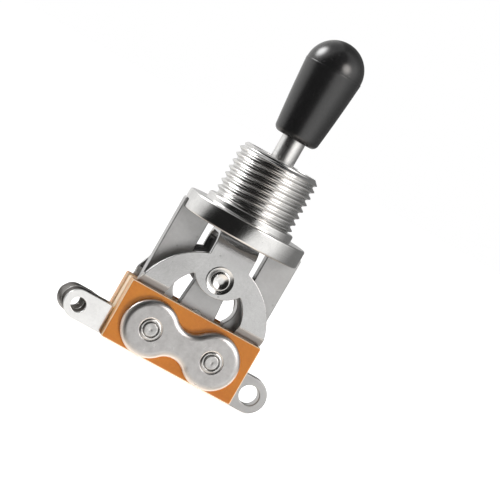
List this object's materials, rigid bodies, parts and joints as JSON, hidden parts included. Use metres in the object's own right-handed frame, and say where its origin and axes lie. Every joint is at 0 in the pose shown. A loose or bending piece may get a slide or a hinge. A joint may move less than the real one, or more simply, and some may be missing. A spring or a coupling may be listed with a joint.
{
  "type": "guitar pickup selector switch",
  "caption": "Toggle selector switch: a domed black tip on a tilting lever, a threaded panel bushing, an arched bracket on a flat frame and a riveted contact stack with solder lugs.",
  "frame": {"origin": "on the bushing's axis, at the flange face that seats against the panel", "axes": "+Z along the bushing and the lever towards the tip, -Y to the front, +X to the side of the ground lug"},
  "size_m": [0.0315, 0.0176, 0.0502],
  "materials": {
    "bright_nickel": "bright nickel plating on turned metal",
    "nickel_sheet": "smooth nickel-plated steel sheet",
    "satin_nickel": "satin nickel plating with a fine grain",
    "tinned_contact": "bright tinned spring metal",
    "contact_silver": "silver contact rivets",
    "phenolic_sheet": "orange-brown laminated phenolic, semi-gloss face and paler cut edges",
    "black_tip": "glossy black moulded plastic",
    "white_nylon": "off-white nylon"
  },
  "bodies": {
    "switch_body": {"bushing": "bright_nickel", "frame_plate": "nickel_sheet", "bracket": "nickel_sheet", "pivot_pin": "bright_nickel", "left_rivet_sleeve": "white_nylon", "right_rivet_sleeve": "white_nylon", "left_stack_rivet": "satin_nickel", "right_stack_rivet": "satin_nickel", "front_pivot_spacer": "nickel_sheet", "rear_pivot_spacer": "nickel_sheet", "front_inner_insulator": "phenolic_sheet", "rear_inner_insulator": "phenolic_sheet", "front_middle_insulator": "phenolic_sheet", "rear_middle_insulator": "phenolic_sheet", "front_outer_insulator": "phenolic_sheet", "rear_outer_insulator": "phenolic_sheet", "front_outer_plate": "phenolic_sheet", "rear_outer_plate": "phenolic_sheet", "front_clamp_plate": "satin_nickel", "rear_clamp_plate": "satin_nickel", "front_fixed_contact": "tinned_contact", "rear_fixed_contact": "tinned_contact", "front_spring_contact": "tinned_contact", "rear_spring_contact": "tinned_contact", "front_fixed_button": "contact_silver", "rear_fixed_button": "contact_silver", "front_spring_button": "contact_silver", "rear_spring_button": "contact_silver"},
    "lever": {"lever_rod": "bright_nickel", "fork_rivet": "nickel_sheet", "lever_paddle": "nickel_sheet", "actuator_cam": "white_nylon", "knob": "black_tip"}
  },
  "joints": [
    {"name": "lever_tilt", "type": "hinge", "parent": "switch_body", "child": "lever", "pos_m": [0, 0, -0.0088], "axis": [0, 1, 0], "range_deg": [-8, 8]}
  ]
}
